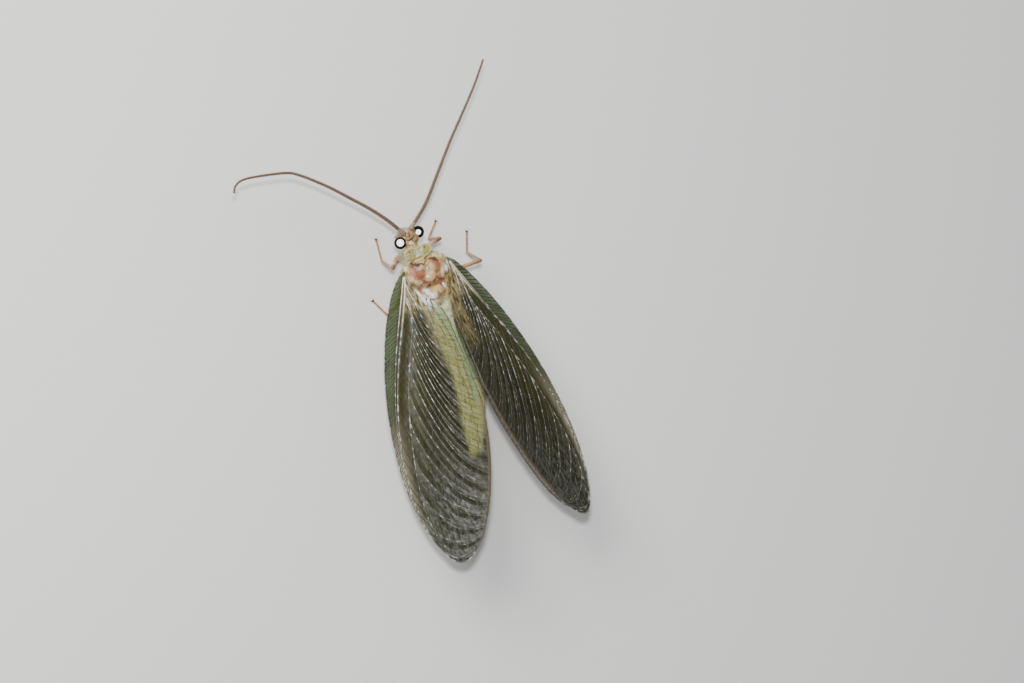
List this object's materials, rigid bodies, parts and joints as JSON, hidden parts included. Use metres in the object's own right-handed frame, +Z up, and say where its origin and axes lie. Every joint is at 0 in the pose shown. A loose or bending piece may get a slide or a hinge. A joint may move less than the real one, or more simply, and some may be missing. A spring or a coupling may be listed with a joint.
{
  "type": "large brown lacewing at rest",
  "caption": "Life-size still model of a broad-winged lacewing standing with its netted wings folded roof-like over the body and its feelers spread.",
  "frame": {"origin": "centre of the bounding box at the level of the feet", "axes": "+Z up from the floor, -Y the way the head faces, +X the insect's left side"},
  "size_m": [0.0252, 0.039, 0.0082],
  "materials": {
    "head_cuticle": "tan cuticle, slightly shiny",
    "eyes": "black polished eye",
    "antennae": "brown ringed, covered in short bristles",
    "pronotum_cuticle": "pale yellow-green cuticle with darker spots",
    "thorax_cuticle": "salmon-pink and ivory cuticle, shiny",
    "abdomen_skin": "soft yellow-green ringed skin",
    "wings": "smoky clear membrane with brown veins",
    "legs": "orange-brown cuticle with fine bristles"
  },
  "bodies": {
    "root": {"head": "head_cuticle", "eye_left": "eyes", "eye_right": "eyes", "antenna_left": "antennae", "antenna_right": "antennae", "prothorax": "pronotum_cuticle", "mesothorax": "thorax_cuticle", "metathorax": "thorax_cuticle", "abdomen": "abdomen_skin", "forewing_left": "wings", "forewing_right": "wings", "hindwing_left": "wings", "hindwing_right": "wings", "leg_fore_left": "legs", "leg_fore_right": "legs", "leg_mid_left": "legs", "leg_mid_right": "legs", "leg_hind_left": "legs", "leg_hind_right": "legs"}
  },
  "joints": []
}
